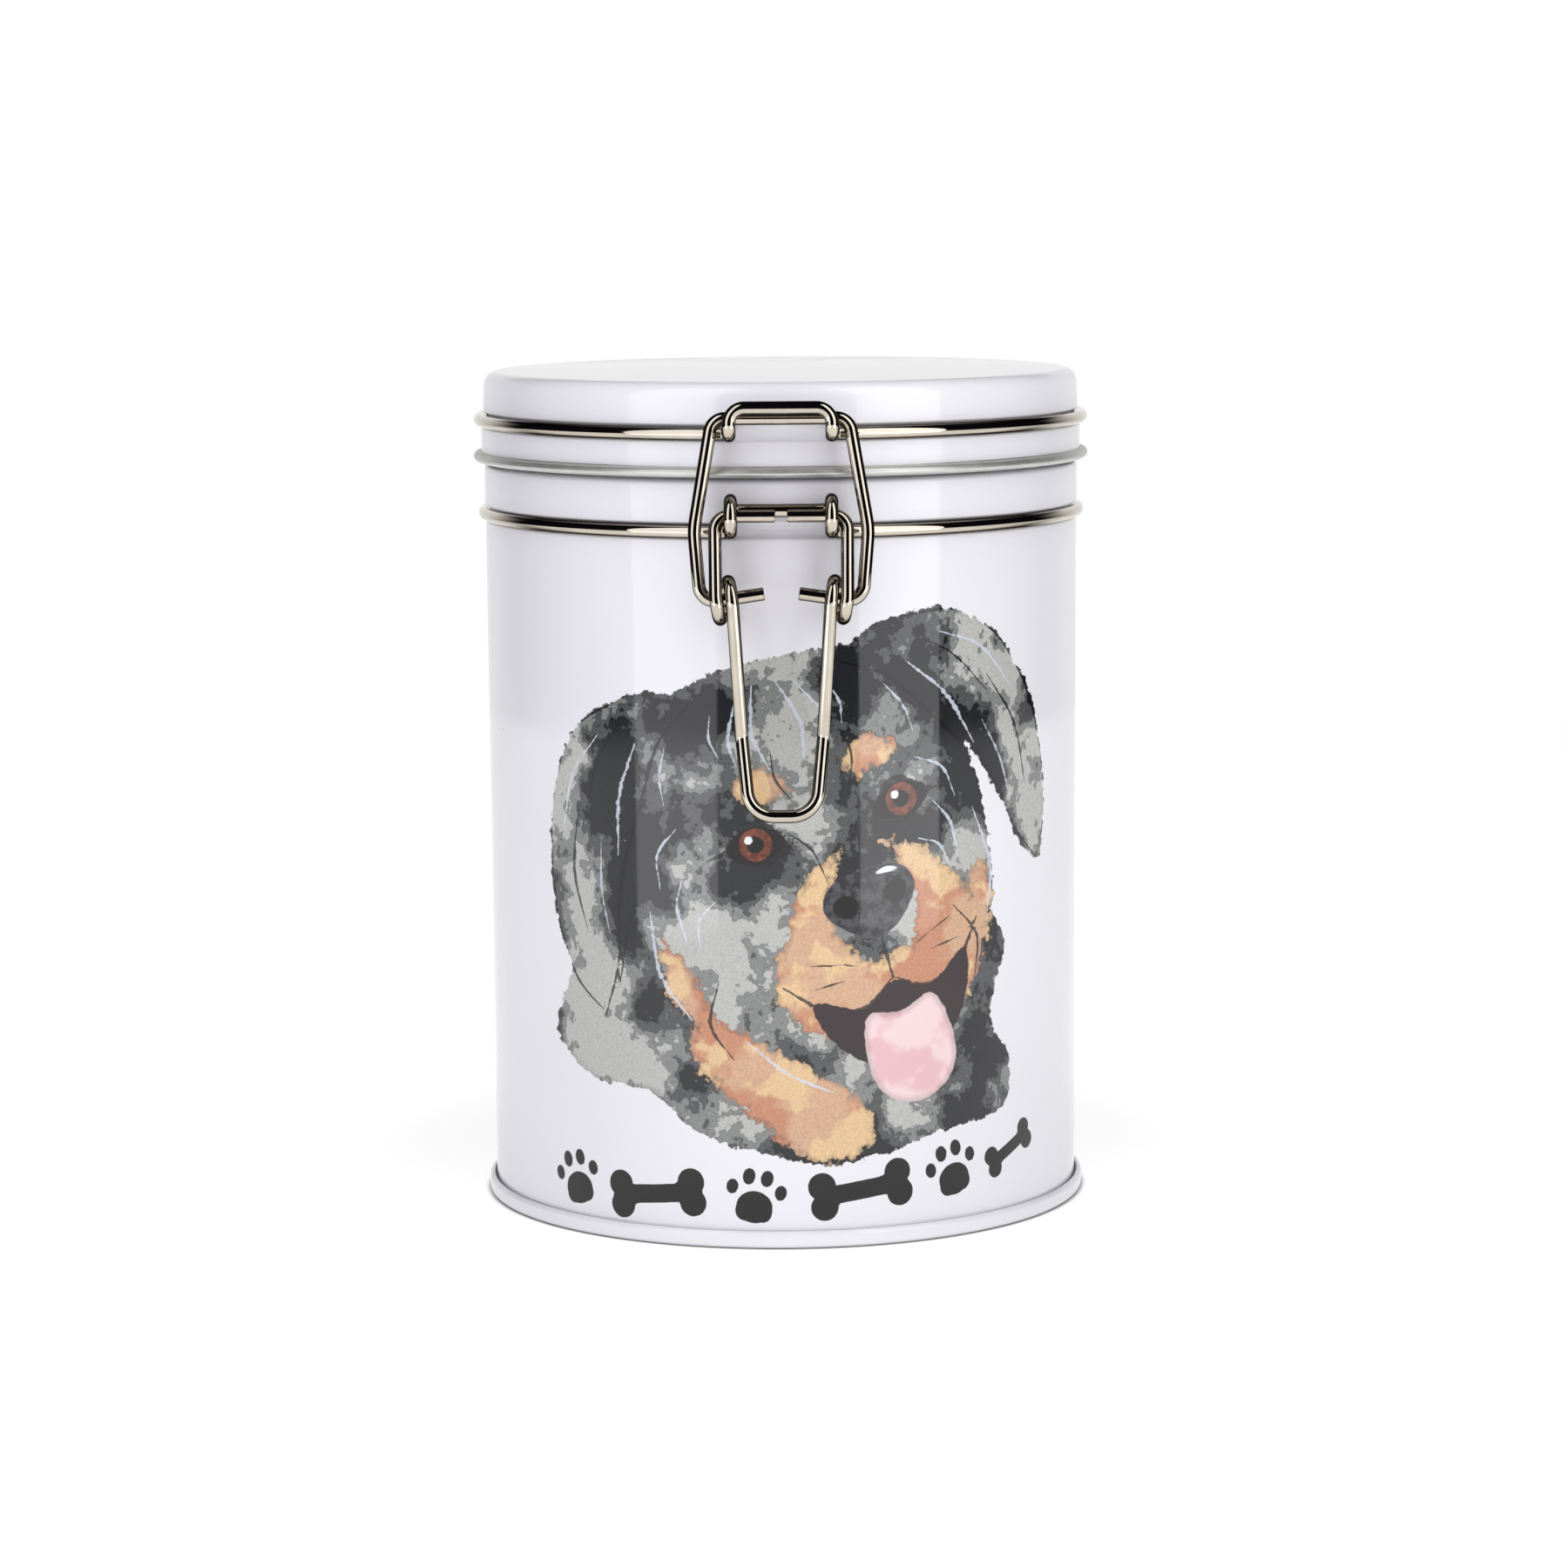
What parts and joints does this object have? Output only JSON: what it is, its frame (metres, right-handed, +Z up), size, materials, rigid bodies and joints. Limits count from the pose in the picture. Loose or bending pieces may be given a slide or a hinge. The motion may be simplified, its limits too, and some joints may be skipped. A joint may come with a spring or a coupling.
{
  "type": "clip-top storage tin",
  "caption": "Round tinplate storage tin for pet treats, with a hinged sealed lid held shut by a bent-wire toggle clamp.",
  "frame": {"origin": "on the tin's axis, at the surface it stands on", "axes": "+Z up along the tin's axis, -Y towards the clamp, +Y towards the hinge, +X to the right seen from the front"},
  "size_m": [0.1036, 0.1183, 0.1402],
  "materials": {
    "white_enamel": "gloss white enamel with a faint cool tint",
    "tinplate": "bare satin tinplate, on the rolled edges and inside",
    "nickel_wire": "bright nickel-plated wire",
    "silicone": "translucent white silicone, matt"
  },
  "bodies": {
    "tin": {"body_shell": "white_enamel", "base_end": "white_enamel", "body_wire": "nickel_wire"},
    "lid": {"lid_shell": "white_enamel", "lid_seal": "silicone", "lid_wire": "nickel_wire"},
    "lever": {"clamp_lever": "nickel_wire"},
    "link": {"clamp_link": "nickel_wire"}
  },
  "joints": [
    {"name": "lid_hinge", "type": "hinge", "parent": "tin", "child": "lid", "pos_m": [0, 0.0565, 0.119], "axis": [-1, 0, 0], "range_deg": [0, 190]},
    {"name": "lever_pivot", "type": "hinge", "parent": "tin", "child": "lever", "pos_m": [0, -0.0543, 0.1195], "axis": [-1, 0, 0], "range_deg": [0, 100]},
    {"name": "link_pivot", "type": "hinge", "parent": "lever", "child": "link", "pos_m": [0, -0.0544, 0.1062], "axis": [-1, 0, 0], "range_deg": [-60, 0]}
  ],
  "couplings": [
    {"joint": "link_pivot", "follows": "lever_pivot", "ratio": -0.6}
  ]
}
